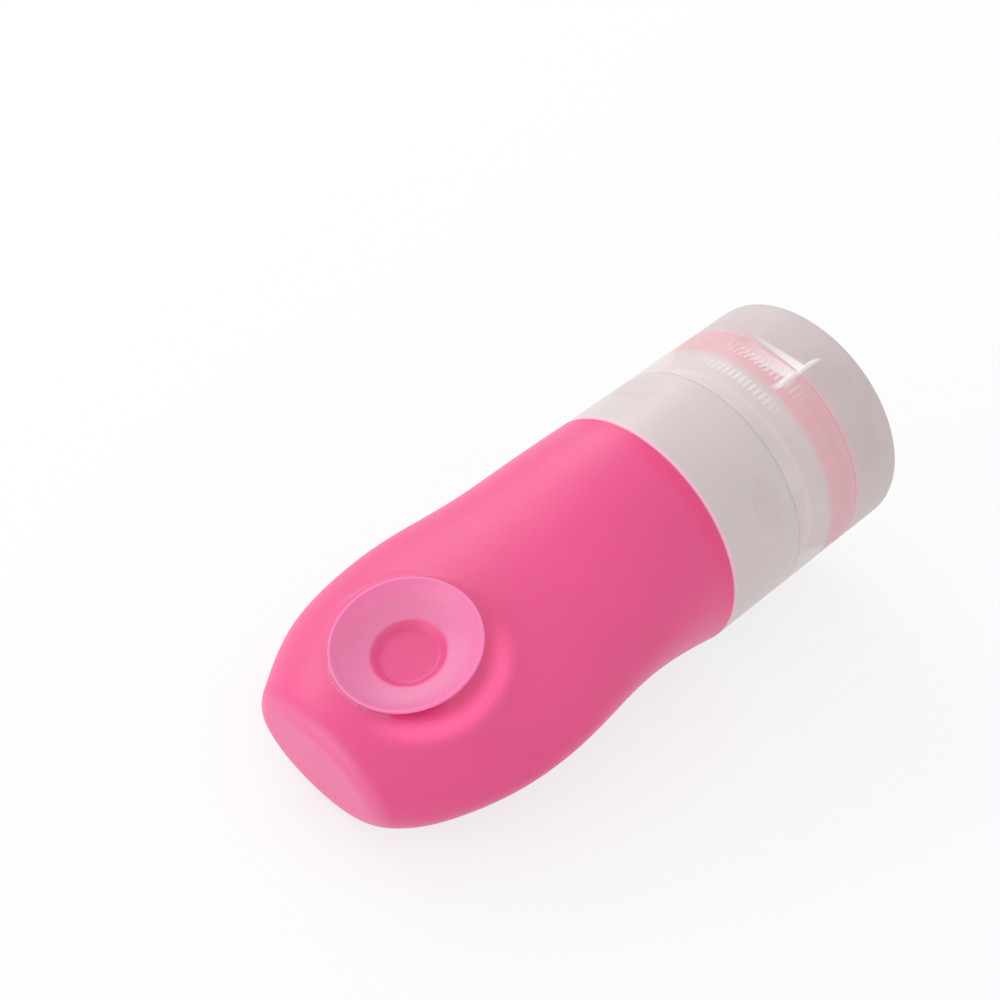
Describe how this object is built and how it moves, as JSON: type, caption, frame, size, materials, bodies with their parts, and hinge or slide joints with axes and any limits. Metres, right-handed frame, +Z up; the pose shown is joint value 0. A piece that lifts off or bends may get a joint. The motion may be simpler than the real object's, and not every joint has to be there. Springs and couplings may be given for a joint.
{
  "type": "travel silicone bottle",
  "caption": "Squeezable travel bottle lying on its side: pink silicone body with moulded suction cup, dimpled collar, frosted screw cap with flip lid and no-drip valve",
  "frame": {"origin": "centre of the bounding box's bottom face, on the surface that the bottle lies on", "axes": "+X runs along the bottle towards the cap, +Y across it, +Z up; the bottle's own axis is pitched up about ten degrees towards the cap, as the bottle rests on the collar's edge and the heel of its base"},
  "size_m": [0.1062, 0.0464, 0.0459],
  "materials": {
    "silicone_pink": "matte",
    "collar_white": "satin",
    "ring_natural": "satin",
    "seal_clear": "matte",
    "cap_frosted": "matte",
    "valve_clear": "matte"
  },
  "bodies": {
    "bottle": {"bottle_body": "silicone_pink", "collar": "collar_white", "neck_ring": "ring_natural"},
    "seal": {"cap_seal": "seal_clear"},
    "cap": {"cap": "cap_frosted", "slit_valve": "valve_clear", "valve_retainer": "ring_natural"},
    "lid": {"lid": "cap_frosted"}
  },
  "joints": [
    {"name": "cap_rise", "type": "slide", "parent": "bottle", "child": "seal", "axis": [0.9841, 0, 0.1775], "range_m": [0, 0.00313]},
    {"name": "cap_turn", "type": "hinge", "parent": "seal", "child": "cap", "pos_m": [0.03979, 0, 0.02454], "axis": [0.9841, 0, 0.1775], "range_deg": [0, 450]},
    {"name": "lid_hinge", "type": "hinge", "parent": "cap", "child": "lid", "pos_m": [0.03638, 0, 0.04343], "axis": [0, -1, 0], "range_deg": [0, 150]}
  ],
  "couplings": [
    {"joint": "cap_turn", "follows": "cap_rise", "rad_per_m": 2513.3}
  ]
}
